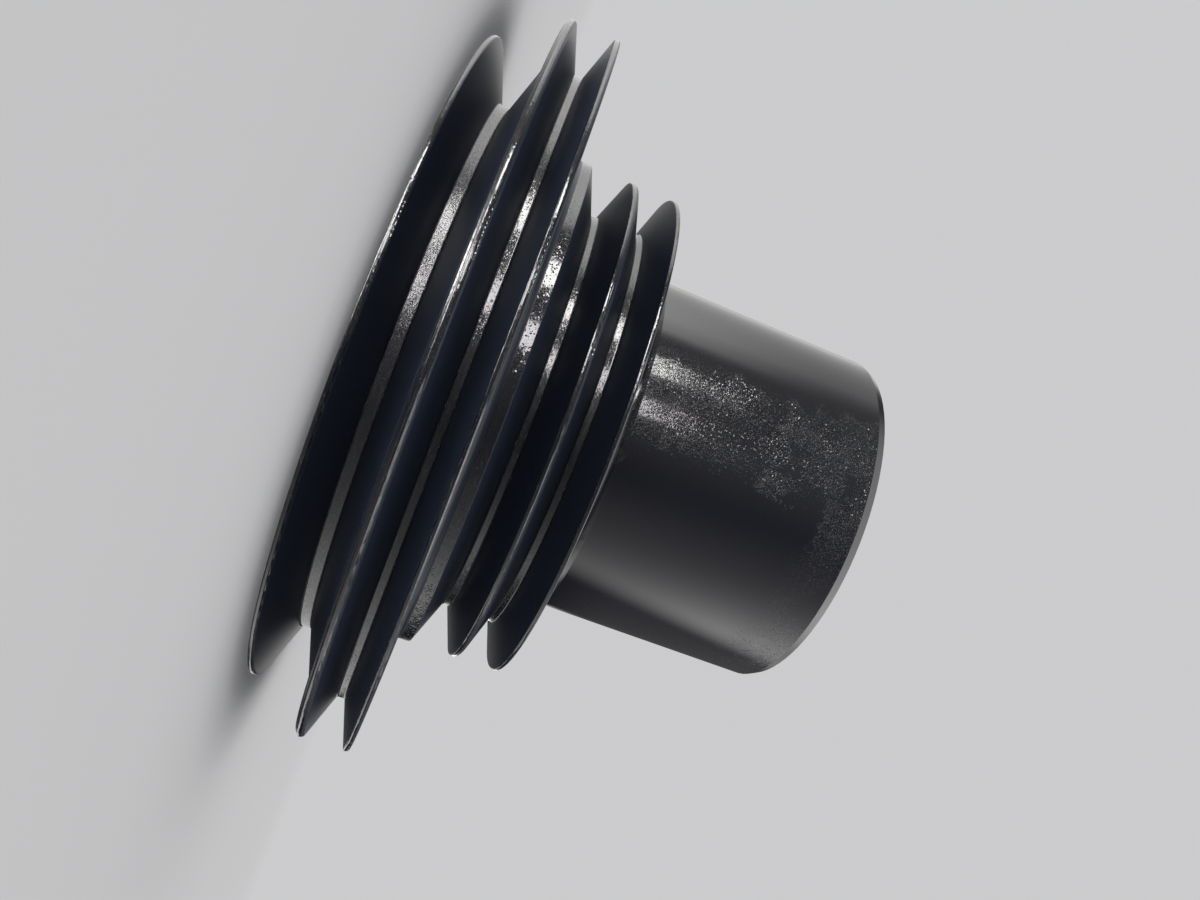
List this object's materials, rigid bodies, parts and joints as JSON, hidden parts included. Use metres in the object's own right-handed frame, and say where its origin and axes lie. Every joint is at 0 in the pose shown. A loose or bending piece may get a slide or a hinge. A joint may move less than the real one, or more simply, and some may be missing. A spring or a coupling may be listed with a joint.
{
  "type": "crankshaft pulley",
  "caption": "Cast crankshaft pulley with wide and narrow V-belt sheaves and a long hollow tube whose bored, drilled end wall bolts to the crankshaft hub.",
  "frame": {"origin": "on the turning axis, at the front face of the widest sheaves, where the pulley stands", "axes": "+Z along the turning axis, from the front face to the bolting face at the tube's end; +X through one bolt hole"},
  "size_m": [0.19, 0.19, 0.1218],
  "materials": {
    "black_paint": "gloss black paint on turned iron, and on the rough cast skin of the tube"
  },
  "bodies": {
    "root": {"pulley": "black_paint"}
  },
  "joints": []
}
